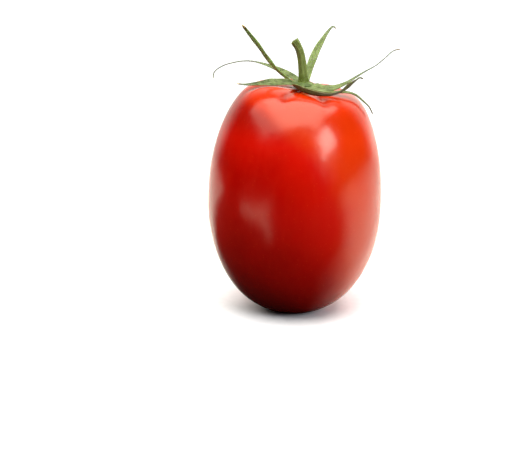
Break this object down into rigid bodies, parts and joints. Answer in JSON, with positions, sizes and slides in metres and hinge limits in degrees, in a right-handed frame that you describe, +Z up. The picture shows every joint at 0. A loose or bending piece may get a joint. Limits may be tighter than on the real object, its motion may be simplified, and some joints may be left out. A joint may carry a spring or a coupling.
{
  "type": "plum tomato",
  "caption": "Ripe plum tomato standing on its blossom end, with its green calyx of narrow curling sepals and a short bent stem.",
  "frame": {"origin": "middle of the small flat spot under the fruit that it rests on", "axes": "+Z up from the resting spot towards the stem, -Y towards the viewer of the picture, +X to the viewer's right"},
  "size_m": [0.064, 0.058, 0.0975],
  "materials": {
    "skin": "smooth waxy red skin with soft highlights",
    "sepal": "dull green leaf, browned at the tips",
    "stem": "dull green ribbed stalk with a pale cut end"
  },
  "bodies": {
    "root": {"fruit": "skin", "calyx": "sepal", "stem": "stem"}
  },
  "joints": []
}
